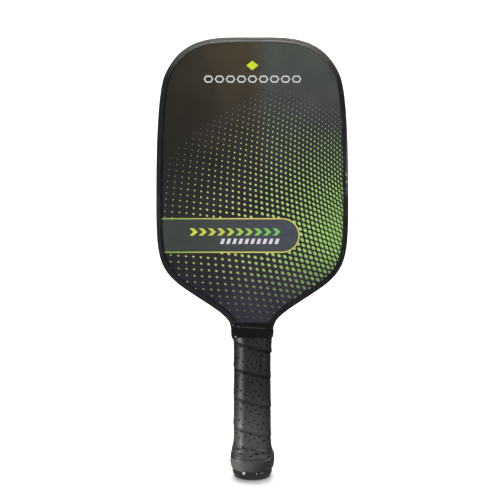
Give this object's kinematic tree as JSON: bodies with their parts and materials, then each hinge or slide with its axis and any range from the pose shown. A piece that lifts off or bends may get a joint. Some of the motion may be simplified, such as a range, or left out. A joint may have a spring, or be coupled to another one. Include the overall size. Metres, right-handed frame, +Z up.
{
  "type": "pickleball paddle",
  "caption": "Elongated pickleball paddle: honeycomb panel with printed faces, edge guard round the head, wrapped octagonal handle and flared butt cap.",
  "frame": {"origin": "centre of the butt cap's flat lower end", "axes": "+Z up the handle to the top of the head, +Y out of the back face, so the front face looks along -Y, and +X to the right seen from the front"},
  "size_m": [0.1852, 0.0374, 0.4243],
  "materials": {
    "honeycomb": "translucent white polypropylene honeycomb",
    "scrim": "off-white bonded fleece",
    "skin": "dark fibre composite",
    "film": "satin printed film, dark with green dots and a grey band",
    "edge_plastic": "semi-gloss black",
    "foam_tape": "thin black foam adhesive tape",
    "pallet": "moulded rigid foam",
    "cap_plastic": "satin black",
    "grip": "perforated cushion strip, satin black",
    "vinyl_tape": "glossy black vinyl tape",
    "staple_wire": "plated wire"
  },
  "bodies": {
    "root": {"honeycomb_core": "honeycomb", "front_core_scrim": "scrim", "back_core_scrim": "scrim", "front_face_skin": "skin", "back_face_skin": "skin", "front_graphic_film": "film", "back_graphic_film": "film", "edge_guard": "edge_plastic", "edge_guard_tape": "foam_tape", "front_handle_pallet": "pallet", "back_handle_pallet": "pallet", "butt_cap": "cap_plastic", "grip_wrap": "grip", "finishing_tape": "vinyl_tape", "butt_cap_staple_front": "staple_wire", "butt_cap_staple_back": "staple_wire", "grip_staple": "staple_wire"}
  },
  "joints": []
}
